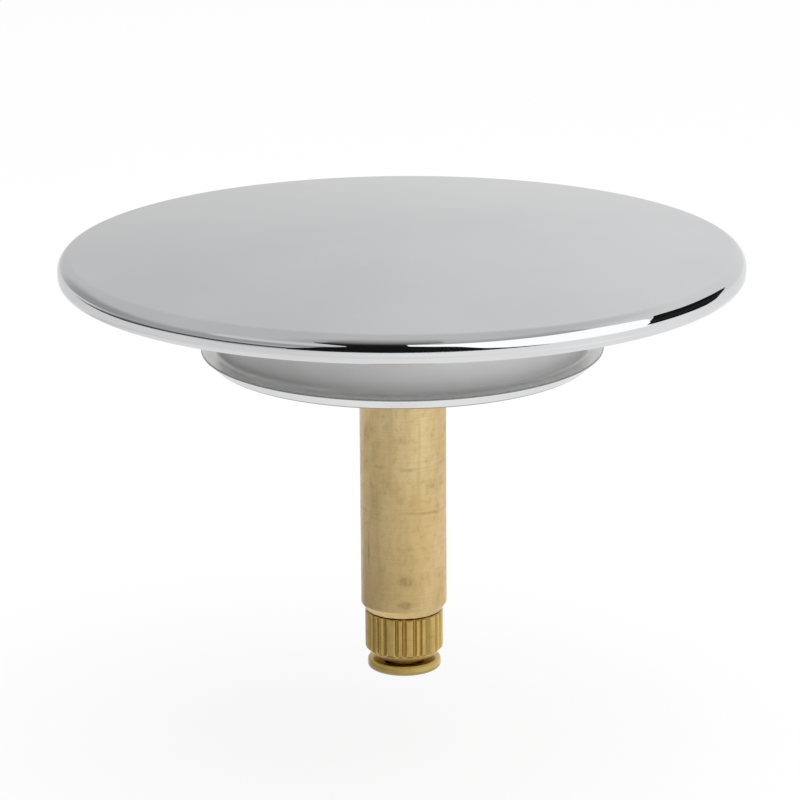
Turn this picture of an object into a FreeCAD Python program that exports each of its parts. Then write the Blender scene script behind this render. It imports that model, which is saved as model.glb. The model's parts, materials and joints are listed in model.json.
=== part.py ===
"""Lift-up bath drain stopper: domed cover, flanged neck with a seal, brass stem and height screw.

Millimetres, +Z up. The origin is on the axis, in the plane of the cover rim's lower edge,
which is where the stopper meets the face of the drain.
"""
import FreeCAD
import Part
import math
import os

# Cover
cover_diameter = 72.0
rim_height = 2.9
shoulder_radius = 1.5
rim_edge_radius = 0.9
rim_lip_width = 2.4
dome_rise = 2.0
cover_plate = 1.6

# Neck and flange of the body
neck_diameter = 38.8
neck_wall = 1.8
neck_height = 8.9
flange_diameter = 42.5
flange_edge_height = 1.3
flange_bevel = 1.25
flange_land = 0.15
flange_fillet_radius = 0.5
body_floor = 2.2

# Post that joins cover, body and stem
post_diameter = 14.0
spigot_diameter = 8.0
spigot_height = 1.2
stud_diameter = 6.0
stud_pitch = 1.0
stud_grip = 7.5
stud_chamfer = 0.5

# Seal
seal_height = 4.1
seal_lip_diameter = 55.0
seal_lip_thickness = 1.6
seal_foot_width = 2.5
seal_edge_radius = 0.5

# Washer above the stem
washer_diameter = 8.8
washer_thickness = 0.6
washer_split = 0.7

# Stem
stem_diameter = 9.2
stem_length = 27.4
stem_end_chamfer_width = 0.5
stem_end_chamfer_height = 0.8
stem_top_chamfer = 0.3

# Height screw
screw_diameter = 4.0
screw_pitch = 0.7
screw_grip = 8.0
screw_tip_length = 0.9
screw_tip_chamfer = 0.4
foot_diameter = 7.9
foot_thickness = 1.05
foot_edge_radius = 0.35
slot_length = 5.6
slot_width = 1.0
slot_depth = 0.6

# Snap ring on the screw's inner end
ring_thickness = 0.6
ring_groove_depth = 0.55
ring_split_angle = 60.0

# Knurled lock nut
nut_diameter = 8.36
nut_height = 5.0
nut_top_chamfer = 0.15
nut_end_chamfer_height = 0.9
nut_end_chamfer_width = 0.8
nut_mouth_chamfer = 0.3
knurl_count = 26
knurl_depth = 0.2
knurl_crest_share = 0.42
knurl_valley_share = 0.18

# Clearances
thread_clearance = 0.05
spigot_clearance = 0.05
spigot_end_gap = 0.1
stud_hole_clearance = 0.2
stud_end_gap = 0.5
seal_clearance = 0.1
ring_clearance = 0.1
ring_groove_clearance = 0.05
screw_end_gap = 0.65
stop_gap = 0.2
nut_gap = 0.15
foot_gap = 0.4

# Radii
cover_r = cover_diameter / 2
neck_r = neck_diameter / 2
flange_r = flange_diameter / 2
post_r = post_diameter / 2
spigot_r = spigot_diameter / 2
stud_r = stud_diameter / 2
stud_bore_r = stud_r + thread_clearance
chamber_r = (stud_diameter - stud_pitch) / 2
stem_r = stem_diameter / 2
screw_r = screw_diameter / 2
screw_bore_r = screw_r + thread_clearance
groove_r = screw_r - ring_groove_depth
foot_r = foot_diameter / 2
nut_r = nut_diameter / 2

# Heights, from the cover downwards
crown_z = rim_height + dome_rise
underside_z = rim_height - cover_plate
flange_top_z = underside_z - neck_height
body_bottom_z = flange_top_z - flange_edge_height
floor_top_z = body_bottom_z + body_floor
stem_top_z = body_bottom_z - washer_thickness
stud_end_z = stem_top_z - stud_grip
chamber_top_z = stud_end_z - stud_end_gap
stem_bottom_z = stem_top_z - stem_length
chamber_floor_z = stem_bottom_z + screw_grip
screw_top_z = stud_end_z - screw_end_gap - stud_end_gap
groove_top_z = screw_top_z - screw_tip_length
ring_top_z = groove_top_z - ring_groove_clearance
ring_bottom_z = ring_top_z - ring_thickness
groove_bottom_z = ring_bottom_z - ring_groove_clearance
nut_top_z = stem_bottom_z - nut_gap
nut_bottom_z = nut_top_z - nut_height
foot_top_z = nut_bottom_z - foot_gap
foot_bottom_z = foot_top_z - foot_thickness

# How far the screw can be wound out before its snap ring meets the end of the thread
screw_travel = ring_bottom_z - chamber_floor_z - stop_gap

AXIS_START = FreeCAD.Vector(0, 0, 0)
AXIS = FreeCAD.Vector(0, 0, 1)


def at(r, z):
    """Point of a half section, at radius r and height z."""
    return FreeCAD.Vector(r, 0, z)


def on_circle(centre, radius, angle):
    """Point of a half section on a circle, at an angle from the outward direction."""
    return at(centre.x + radius * math.cos(angle), centre.z + radius * math.sin(angle))


def line(start, end):
    """Straight edge of a half section."""
    return Part.LineSegment(start, end).toShape()


def arc(centre, radius, start_angle, end_angle):
    """Round edge of a half section about a centre."""
    middle_angle = (start_angle + end_angle) / 2
    start = on_circle(centre, radius, start_angle)
    middle = on_circle(centre, radius, middle_angle)
    end = on_circle(centre, radius, end_angle)
    return Part.Arc(start, middle, end).toShape()


def turn(edges):
    """Solid turned about the axis from the closed edges of a half section."""
    face = Part.Face(Part.Wire(Part.__sortEdges__(edges)))
    return face.revolve(AXIS_START, AXIS, 360)


def turn_corners(corners):
    """Solid turned about the axis from a half section with straight sides."""
    points = [at(r, z) for r, z in corners]
    edges = [line(a, b) for a, b in zip(points, points[1:] + points[:1])]
    return turn(edges)


def cover_disc():
    """Domed cover whose dome runs smoothly into the shoulder of the rounded rim."""
    shoulder = at(cover_r - shoulder_radius, rim_height - shoulder_radius)
    drop = crown_z - shoulder.z
    dome_radius = (shoulder.x ** 2 + drop ** 2 - shoulder_radius ** 2) / (2 * dome_rise)
    dome = at(0, crown_z - dome_radius)
    meet = math.atan2(shoulder.z - dome.z, shoulder.x)
    edge = at(cover_r - rim_edge_radius, rim_edge_radius)
    lip_r = cover_r - rim_lip_width
    socket_r = spigot_r + spigot_clearance
    socket_z = underside_z + spigot_height + spigot_end_gap
    path = [at(edge.x, 0), at(lip_r, 0), at(lip_r, underside_z), at(socket_r, underside_z),
            at(socket_r, socket_z), at(0, socket_z), at(0, crown_z)]
    edges = [line(a, b) for a, b in zip(path, path[1:])]
    edges.append(arc(dome, dome_radius, math.pi / 2, meet))
    edges.append(arc(shoulder, shoulder_radius, meet, 0))
    edges.append(line(at(cover_r, shoulder.z), at(cover_r, edge.z)))
    edges.append(arc(edge, rim_edge_radius, 0, -math.pi / 2))
    return turn(edges)


def centre_post():
    """Shouldered post: spigot in the cover, round spacer inside the body, threaded end below."""
    return turn_corners([
        (0, underside_z + spigot_height), (spigot_r, underside_z + spigot_height),
        (spigot_r, underside_z), (post_r, underside_z), (post_r, floor_top_z), (stud_r, floor_top_z),
        (stud_r, stud_end_z + stud_chamfer), (stud_r - stud_chamfer, stud_end_z), (0, stud_end_z)])


def valve_body():
    """Cup with a plain neck, a floor that is clamped on the post and a flange with a bevelled edge."""
    hole_r = stud_r + stud_hole_clearance
    inner_r = neck_r - neck_wall
    hollow = at(neck_r + flange_fillet_radius, flange_top_z + flange_fillet_radius)
    path = [at(neck_r, hollow.z), at(neck_r, underside_z), at(inner_r, underside_z),
            at(inner_r, floor_top_z), at(hole_r, floor_top_z), at(hole_r, body_bottom_z),
            at(flange_r - flange_bevel, body_bottom_z), at(flange_r, flange_top_z - flange_land),
            at(flange_r, flange_top_z), at(hollow.x, flange_top_z)]
    edges = [line(a, b) for a, b in zip(path, path[1:])]
    edges.append(arc(hollow, flange_fillet_radius, math.pi, math.pi * 1.5))
    return turn(edges)


def seal_ring():
    """Soft ring round the neck, with a lip under the cover and a tapered face for the drain."""
    bore_r = neck_r + seal_clearance
    lip_r = seal_lip_diameter / 2
    bottom_z = underside_z - seal_height
    corner = at(lip_r - seal_edge_radius, underside_z - seal_edge_radius)
    path = [at(lip_r, corner.z), at(lip_r, underside_z - seal_lip_thickness),
            at(bore_r + seal_foot_width, bottom_z), at(bore_r, bottom_z), at(bore_r, underside_z),
            at(corner.x, underside_z)]
    edges = [line(a, b) for a, b in zip(path, path[1:])]
    edges.append(arc(corner, seal_edge_radius, 0, math.pi / 2))
    return turn(edges)


def lock_washer():
    """Split washer between the body's floor and the top of the stem."""
    inner_r = stud_r + stud_hole_clearance
    outer_r = washer_diameter / 2
    ring = turn_corners([(inner_r, stem_top_z), (outer_r, stem_top_z),
                         (outer_r, body_bottom_z), (inner_r, body_bottom_z)])
    split = Part.makeBox(outer_r, washer_split, washer_thickness,
                         FreeCAD.Vector(0, -washer_split / 2, stem_top_z))
    return ring.cut(split)


def stem_sleeve():
    """Tube with a thread for the post on top, a hollow for the snap ring and the screw's thread below."""
    return turn_corners([
        (stud_bore_r, stem_top_z), (stem_r - stem_top_chamfer, stem_top_z),
        (stem_r, stem_top_z - stem_top_chamfer), (stem_r, stem_bottom_z + stem_end_chamfer_height),
        (stem_r - stem_end_chamfer_width, stem_bottom_z), (screw_bore_r, stem_bottom_z),
        (screw_bore_r, chamber_floor_z), (chamber_r, chamber_floor_z), (chamber_r, chamber_top_z),
        (stud_bore_r, chamber_top_z)])


def knurled_bar():
    """Bar with straight ridges all round, as tall as the lock nut."""
    step = 2 * math.pi / knurl_count
    crest = step * knurl_crest_share / 2
    valley = step * (1 - knurl_valley_share) / 2
    root_r = nut_r - knurl_depth
    points = []
    for ridge in range(knurl_count):
        middle = ridge * step
        for radius, turned in ((root_r, -valley), (nut_r, -crest), (nut_r, crest), (root_r, valley)):
            angle = middle + turned
            points.append(FreeCAD.Vector(radius * math.cos(angle), radius * math.sin(angle), nut_bottom_z))
    outline = Part.makePolygon(points + points[:1])
    return Part.Face(outline).extrude(AXIS * nut_height)


def lock_nut():
    """Knurled nut with a wide bevel at its lower end, threaded on the screw."""
    mouth_r = screw_bore_r + nut_mouth_chamfer
    blank = turn_corners([
        (screw_bore_r, nut_bottom_z + nut_mouth_chamfer), (mouth_r, nut_bottom_z),
        (nut_r - nut_end_chamfer_width, nut_bottom_z), (nut_r, nut_bottom_z + nut_end_chamfer_height),
        (nut_r, nut_top_z - nut_top_chamfer), (nut_r - nut_top_chamfer, nut_top_z),
        (mouth_r, nut_top_z), (screw_bore_r, nut_top_z - nut_mouth_chamfer)])
    return knurled_bar().common(blank)


def adjusting_screw():
    """Screw with a rounded foot, a driver slot in the foot and a groove for the snap ring."""
    edge_r = foot_r - foot_edge_radius
    upper = at(edge_r, foot_top_z - foot_edge_radius)
    lower = at(edge_r, foot_bottom_z + foot_edge_radius)
    path = [at(edge_r, foot_top_z), at(screw_r, foot_top_z), at(screw_r, groove_bottom_z),
            at(groove_r, groove_bottom_z), at(groove_r, groove_top_z), at(screw_r, groove_top_z),
            at(screw_r, screw_top_z - screw_tip_chamfer), at(screw_r - screw_tip_chamfer, screw_top_z),
            at(0, screw_top_z), at(0, foot_bottom_z), at(edge_r, foot_bottom_z)]
    edges = [line(a, b) for a, b in zip(path, path[1:])]
    edges.append(arc(lower, foot_edge_radius, -math.pi / 2, 0))
    edges.append(line(at(foot_r, lower.z), at(foot_r, upper.z)))
    edges.append(arc(upper, foot_edge_radius, 0, math.pi / 2))
    slot = Part.makeBox(slot_length, slot_width, slot_depth,
                        FreeCAD.Vector(-slot_length / 2, -slot_width / 2, foot_bottom_z))
    return turn(edges).cut(slot)


def stop_ring():
    """Open snap ring in the groove of the screw, free to slide in the hollow of the stem."""
    inner_r = groove_r + ring_groove_clearance
    outer_r = chamber_r - ring_clearance
    blank = turn_corners([(inner_r, ring_bottom_z), (outer_r, ring_bottom_z),
                          (outer_r, ring_top_z), (inner_r, ring_top_z)])
    mouth = Part.makeCylinder(chamber_r, ring_thickness, at(0, ring_bottom_z), AXIS, ring_split_angle)
    return blank.cut(mouth)


def main():
    """Write one file for each piece and print the screw's travel."""
    os.makedirs("parts", exist_ok=True)
    pieces = (cover_disc, centre_post, valve_body, seal_ring, lock_washer, stem_sleeve, lock_nut,
              adjusting_screw, stop_ring)
    for piece in pieces:
        shape = piece()
        shape.exportStep(f"parts/{piece.__name__}.step")
        print(f"{piece.__name__}: {shape.Volume:.1f} mm3, valid {shape.isValid()}")
    turns = screw_travel / screw_pitch
    print(f"screw travel {screw_travel:.2f} mm, {turns:.2f} turns")


main()
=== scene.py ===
"""Looks of a lift-up bath drain stopper: chrome cover and neck, brass stem, knurled nut and screw foot.

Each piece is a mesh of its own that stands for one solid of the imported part, in the part's frame.
Sizes are written in millimetres and become metres when a mesh is made. +Z is up, out of the dome,
and the reference view looks along +Y from slightly above.
"""

import json
import logging
import math
from abc import ABC, abstractmethod
from dataclasses import dataclass, field
from enum import Enum

import bmesh
import bpy
from mathutils import Matrix, Vector

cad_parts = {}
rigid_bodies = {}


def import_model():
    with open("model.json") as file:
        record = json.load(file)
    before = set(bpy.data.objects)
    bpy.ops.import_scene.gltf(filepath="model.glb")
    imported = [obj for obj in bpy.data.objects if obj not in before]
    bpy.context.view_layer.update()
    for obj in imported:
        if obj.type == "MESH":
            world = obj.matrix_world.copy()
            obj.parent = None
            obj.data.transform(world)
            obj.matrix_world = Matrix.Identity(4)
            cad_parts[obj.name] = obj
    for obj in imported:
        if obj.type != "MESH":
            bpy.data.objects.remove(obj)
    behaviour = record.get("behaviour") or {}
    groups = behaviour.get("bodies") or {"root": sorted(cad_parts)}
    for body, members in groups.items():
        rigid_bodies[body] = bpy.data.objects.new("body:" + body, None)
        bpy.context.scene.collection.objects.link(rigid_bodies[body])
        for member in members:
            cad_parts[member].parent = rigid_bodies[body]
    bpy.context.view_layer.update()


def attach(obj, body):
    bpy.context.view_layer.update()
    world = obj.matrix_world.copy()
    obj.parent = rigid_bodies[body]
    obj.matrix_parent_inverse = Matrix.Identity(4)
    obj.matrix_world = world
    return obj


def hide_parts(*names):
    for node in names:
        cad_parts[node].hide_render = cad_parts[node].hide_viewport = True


for leftover in list(bpy.data.objects):
    bpy.data.objects.remove(leftover)
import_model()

MM = 0.001
TURN = 2 * math.pi
SMOOTH_ANGLE = 38.0
CUT_SMOOTH_ANGLE = 34.0
LOG = logging.getLogger("drain_stopper")

Point = tuple[float, float]
Triple = tuple[float, float, float]
Colour = Triple
Socket = bpy.types.NodeSocket
Value = float | Socket
Range = tuple[Value, Value]


def metres(*sizes: float) -> tuple[float, ...]:
    """Turn millimetres into metres."""
    return tuple(size * MM for size in sizes)


class Body(Enum):
    """Bodies of the part that a piece can ride on."""

    STOPPER = "stopper"
    LOCK_NUT = "lock_nut"
    STOP_RING = "stop_ring"
    ADJUSTING_SCREW = "adjusting_screw"


class Slot(Enum):
    """Material slots of the part's record."""

    POLISHED_CHROME = "polished_chrome"
    SATIN_CHROME = "satin_chrome"
    BRASS = "brass"
    POLISHED_BRASS = "polished_brass"
    RUBBER = "rubber"
    SPRING_STEEL = "spring_steel"


class Curve(Enum):
    """Ways of going from one end of a range to the other."""

    STRAIGHT = "LINEAR"
    SMOOTH = "SMOOTHSTEP"


@dataclass
class HalfSection:
    """Half-section of a turned piece, drawn corner by corner.

    Attributes:
        closed: True for a ring, False for a piece that starts and ends on the axis.
        ease_steps: Facets of each rounded corner.
        support: Distance of the extra row that keeps a flat face flat beside a rounded corner.
        side_share: Largest share of a side that a rounding takes up.
        corners: Radius, height and rounding of each corner so far.
    """

    closed: bool
    ease_steps: int = 6
    support: float = 0.02
    side_share: float = 0.45
    corners: list[Triple] = field(default_factory=list)

    def corner(self, radius: float, height: float, ease: float = 0.0) -> "HalfSection":
        """Add a corner, rounded by a small radius if ease is above 0."""
        self.corners.append((radius, height, ease))
        return self

    def run(self, radius: float, height: float, rows: int) -> "HalfSection":
        """Add a straight side in several rows, up to a point.

        Args:
            radius: Radius of the side's end.
            height: Height of the side's end.
            rows: Rows that the side is divided into.

        Returns:
            This half-section.
        """
        r0, z0, _ = self.corners[-1]
        for row in range(1, rows + 1):
            share = row / rows
            self.corner(r0 + (radius - r0) * share, z0 + (height - z0) * share)
        return self

    def arc(self, centre: Point, radius: float, start: float, end: float, steps: int) -> "HalfSection":
        """Add an arc about a centre.

        Args:
            centre: Radius and height of the arc's centre.
            radius: Radius of the arc.
            start: First angle, from the outward direction towards +Z, in radians.
            end: Last angle, in radians.
            steps: Facets of the arc.

        Returns:
            This half-section.
        """
        for step in range(steps + 1):
            angle = start + (end - start) * step / steps
            r = max(0.0, centre[0] + radius * math.cos(angle))
            self.corner(r, centre[1] + radius * math.sin(angle))
        return self

    def outline(self) -> list[Point]:
        """Work out the points of the half-section, with its corners rounded.

        Returns:
            Radius and height of each point, in order.
        """
        points: list[Point] = []
        last = len(self.corners) - 1
        for index, (r, z, ease) in enumerate(self.corners):
            at_end = not self.closed and index in (0, last)
            if ease <= 0 or at_end:
                points.append((r, z))
                continue
            before = self.corners[index - 1]
            after = self.corners[(index + 1) % len(self.corners)]
            points += self._rounded(Vector((r, z)), Vector(before[:2]), Vector(after[:2]), ease)
        return points

    def _rounded(self, here: Vector, before: Vector, after: Vector, ease: float) -> list[Point]:
        """Round one corner.

        Args:
            here: The corner.
            before: The corner before it.
            after: The corner after it.
            ease: Radius of the rounding.

        Returns:
            Points of the rounding, with a row of support on each side.
        """
        back = (before - here).normalized()
        ahead = (after - here).normalized()
        half = back.angle(ahead) / 2
        shorter = min((before - here).length, (after - here).length)
        reach = min(ease / math.tan(half), self.side_share * shorter)
        radius = reach * math.tan(half)
        centre = here + (back + ahead).normalized() * (radius / math.sin(half))
        start = here + back * reach - centre
        sweep = start.angle_signed(here + ahead * reach - centre)
        points = [here + back * (reach + self.support)]
        for step in range(self.ease_steps + 1):
            turned = -sweep * step / self.ease_steps
            cos, sin = math.cos(turned), math.sin(turned)
            points.append(centre + Vector((start.x * cos - start.y * sin, start.x * sin + start.y * cos)))
        points.append(here + ahead * (reach + self.support))
        return [(max(0.0, p.x), p.y) for p in points]


@dataclass
class Lathe:
    """Turns half-sections into meshes.

    Attributes:
        segments: Facets round the axis.
        start: Angle where an open ring begins, from +X, in radians.
        sweep: Angle that is swept, in radians; less than a full turn leaves a gap with closed ends.
    """

    segments: int
    start: float = 0.0
    sweep: float = TURN

    def mesh(self, name: str, section: HalfSection) -> bpy.types.Mesh:
        """Turn a half-section about the axis.

        Args:
            name: Name of the mesh.
            section: The half-section.

        Returns:
            Closed mesh in metres, with faces that point outwards.
        """
        outline = section.outline()
        full = self.sweep > TURN - 1e-6
        columns = self.segments if full else self.segments + 1
        verts: list[Triple] = []
        rows: list[list[int]] = []
        for r, z in outline:
            first = len(verts)
            if r < 1e-6:
                verts.append((0.0, 0.0, z * MM))
                rows.append([first] * columns)
                continue
            for column in range(columns):
                angle = self.start + self.sweep * column / self.segments
                verts.append((r * math.cos(angle) * MM, r * math.sin(angle) * MM, z * MM))
            rows.append(list(range(first, first + columns)))
        pairs = list(zip(rows, rows[1:]))
        if section.closed:
            pairs.append((rows[-1], rows[0]))
        faces: list[tuple[int, ...]] = []
        for lower, upper in pairs:
            for column in range(self.segments):
                other = (column + 1) % columns
                corners = (lower[column], lower[other], upper[other], upper[column])
                faces.append(tuple(dict.fromkeys(corners)))
        if not full:
            faces.append(tuple(row[0] for row in rows))
            faces.append(tuple(row[-1] for row in reversed(rows)))
        mesh = bpy.data.meshes.new(name)
        mesh.from_pydata(verts, [], [face for face in faces if len(face) > 2])
        return tidied(mesh)


def tidied(mesh: bpy.types.Mesh, sharp: float = SMOOTH_ANGLE) -> bpy.types.Mesh:
    """Merge doubles, turn the faces outwards and shade the mesh smooth up to an angle.

    Args:
        mesh: Mesh to tidy in place.
        sharp: Angle between faces, in degrees, above which an edge stays sharp.

    Returns:
        The same mesh.
    """
    work = bmesh.new()
    work.from_mesh(mesh)
    bmesh.ops.remove_doubles(work, verts=work.verts, dist=1e-8)
    bmesh.ops.recalc_face_normals(work, faces=work.faces)
    work.to_mesh(mesh)
    work.free()
    mesh.shade_smooth()
    mesh.set_sharp_from_angle(angle=math.radians(sharp))
    return mesh


def placed(name: str, data: bpy.types.ID) -> bpy.types.Object:
    """Put a mesh, lamp or camera in the scene as an object.

    Args:
        name: Name of the object.
        data: The mesh, lamp or camera.

    Returns:
        The object.
    """
    made = bpy.data.objects.new(name, data)
    bpy.context.scene.collection.objects.link(made)
    return made


class NodeBench:
    """Adds and joins the nodes of one tree."""

    def __init__(self, tree: bpy.types.NodeTree) -> None:
        """Start on an empty tree."""
        self.tree = tree
        tree.nodes.clear()

    def node(self, kind: str, **settings: object) -> bpy.types.Node:
        """Add a node and set its properties.

        Args:
            kind: Blender's type name of the node.
            **settings: Properties to set on it.

        Returns:
            The new node.
        """
        made = self.tree.nodes.new(kind)
        for key, value in settings.items():
            setattr(made, key, value)
        return made

    def feed(self, socket: Socket, value: object) -> None:
        """Link a socket to another, or give it a constant.

        Args:
            socket: Input socket to feed.
            value: An output socket, or the constant.
        """
        if isinstance(value, bpy.types.NodeSocket):
            self.tree.links.new(value, socket)
        else:
            socket.default_value = value

    def math(self, operation: str, first: Value, second: Value = 0.0) -> Socket:
        """Add a math node.

        Args:
            operation: Blender's name of the operation.
            first: First number.
            second: Second number, where the operation has one.

        Returns:
            The result.
        """
        made = self.node("ShaderNodeMath", operation=operation)
        self.feed(made.inputs[0], first)
        self.feed(made.inputs[1], second)
        return made.outputs[0]

    def product(self, *factors: Value) -> Socket:
        """Multiply two or more numbers.

        Args:
            *factors: The numbers.

        Returns:
            Their product.
        """
        result = factors[0]
        for factor in factors[1:]:
            result = self.math("MULTIPLY", result, factor)
        return result

    def remap(self, value: Value, given: Range, wanted: Range = (0.0, 1.0),
              curve: Curve = Curve.STRAIGHT) -> Socket:
        """Map a range of numbers to another, clamped at its ends.

        Args:
            value: Number to map.
            given: Range that it lies in.
            wanted: Range that it is mapped to.
            curve: Way from one end to the other.

        Returns:
            The mapped number.
        """
        made = self.node("ShaderNodeMapRange", interpolation_type=curve.value)
        self.feed(made.inputs["Value"], value)
        for name, end in zip(("From Min", "From Max", "To Min", "To Max"), (*given, *wanted)):
            self.feed(made.inputs[name], end)
        return made.outputs["Result"]

    def band(self, value: Value, rise: Range, fall: Range) -> Socket:
        """Rise from 0 to 1 over one range of a number and fall back over another."""
        return self.product(self.remap(value, rise), self.remap(value, fall, (1.0, 0.0)))

    def fade(self, factor: Value, first: Value, second: Value) -> Socket:
        """Mix two numbers.

        Args:
            factor: Share of the second number.
            first: Number at 0.
            second: Number at 1.

        Returns:
            The mixed number.
        """
        made = self.node("ShaderNodeMix", data_type="FLOAT")
        for socket, value in zip((made.inputs[0], made.inputs[2], made.inputs[3]), (factor, first, second)):
            self.feed(socket, value)
        return made.outputs[0]

    def wrap(self, value: Value, low: float, high: float) -> Socket:
        """Bring a number into a range by whole turns of it.

        Args:
            value: The number.
            low: Lower end of the range.
            high: Upper end of the range.

        Returns:
            The number in the range.
        """
        made = self.node("ShaderNodeMath", operation="WRAP")
        for socket, given in zip(made.inputs, (value, high, low)):
            self.feed(socket, given)
        return made.outputs[0]

    def length(self, first: Value, second: Value) -> Socket:
        """Length of a vector with two parts at right angles."""
        squares = (self.product(part, part) for part in (first, second))
        return self.math("SQRT", self.math("ADD", *squares))

    def azimuth(self, x: Value, y: Value) -> Socket:
        """Angle about the axis from the reference view's side, positive to the right, in radians."""
        return self.math("ARCTAN2", x, self.product(y, -1.0))

    def split(self, vector: Socket) -> tuple[Socket, Socket, Socket]:
        """Take a vector apart into its three numbers."""
        made = self.node("ShaderNodeSeparateXYZ")
        self.feed(made.inputs[0], vector)
        return made.outputs[0], made.outputs[1], made.outputs[2]

    def noise(self, vector: Socket, stretch: Triple, detail: float = 3.0, rough: float = 0.55) -> Socket:
        """Add noise with its own fineness along each axis.

        Args:
            vector: Coordinates to read, in metres.
            stretch: Features per metre along X, Y and Z.
            detail: Octaves of finer noise.
            rough: Strength of the finer octaves.

        Returns:
            Noise from 0 to 1, mostly near the middle.
        """
        mapping = self.node("ShaderNodeMapping")
        self.feed(mapping.inputs["Vector"], vector)
        mapping.inputs["Scale"].default_value = stretch
        made = self.node("ShaderNodeTexNoise")
        self.feed(made.inputs["Vector"], mapping.outputs[0])
        made.inputs["Scale"].default_value = 1.0
        made.inputs["Detail"].default_value = detail
        made.inputs["Roughness"].default_value = rough
        return made.outputs["Fac"]

    def blend(self, factor: Value, first: Colour | Socket, second: Colour | Socket) -> Socket:
        """Mix two colours.

        Args:
            factor: Share of the second colour.
            first: Colour at 0.
            second: Colour at 1.

        Returns:
            The mixed colour.
        """
        made = self.node("ShaderNodeMix", data_type="RGBA")
        self.feed(made.inputs[0], factor)
        for socket, colour in ((made.inputs[6], first), (made.inputs[7], second)):
            self.feed(socket, colour if isinstance(colour, bpy.types.NodeSocket) else (*colour, 1.0))
        return made.outputs[2]

    def bump(self, height: Socket, depth: float, strength: float = 1.0) -> Socket:
        """Turn a height from 0 to 1 into a bumped normal.

        Args:
            height: The height.
            depth: Depth of the relief, in metres.
            strength: Share of the relief that is used.

        Returns:
            The normal.
        """
        made = self.node("ShaderNodeBump")
        made.inputs["Strength"].default_value = strength
        made.inputs["Distance"].default_value = depth
        self.feed(made.inputs["Height"], height)
        return made.outputs[0]

    def cross(self, factor: Value, first: bpy.types.Node, second: bpy.types.Node) -> bpy.types.Node:
        """Mix two shaders.

        Args:
            factor: Share of the second shader.
            first: Shader at 0.
            second: Shader at 1.

        Returns:
            The mixing node.
        """
        made = self.node("ShaderNodeMixShader")
        for socket, value in zip(made.inputs, (factor, first.outputs[0], second.outputs[0])):
            self.feed(socket, value)
        return made

    def surface(self, shader: bpy.types.Node, kind: str = "ShaderNodeOutputMaterial") -> None:
        """Join a shader to a new output node."""
        self.feed(self.node(kind).inputs["Surface"], shader.outputs[0])


def new_material(name: str) -> tuple[bpy.types.Material, NodeBench]:
    """Make a material with an empty tree.

    Args:
        name: Name of the material.

    Returns:
        The material, and the bench of its tree.
    """
    made = bpy.data.materials.new(name)
    made.use_nodes = True
    return made, NodeBench(made.node_tree)


@dataclass(frozen=True)
class Finish(ABC):
    """A surface finish.

    Attributes:
        title: Name of the material.
        slot: Slot of the record that the finish belongs to; not used.
    """

    title: str
    slot: Slot

    def material(self) -> bpy.types.Material:
        """Make the finish's material, or find it if it is there.

        Returns:
            The material.
        """
        made = bpy.data.materials.get(self.title)
        if made is None:
            made, bench = new_material(self.title)
            shader = bench.node("ShaderNodeBsdfPrincipled")
            self.wire(bench, shader, bench.node("ShaderNodeTexCoord").outputs["Object"])
            bench.surface(shader)
        return made

    @abstractmethod
    def wire(self, bench: NodeBench, shader: bpy.types.Node, coords: Socket) -> None:
        """Join the finish's nodes to its shader.

        Args:
            bench: Bench of the material's tree.
            shader: The material's shader.
            coords: Object coordinates, in metres.
        """


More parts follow.
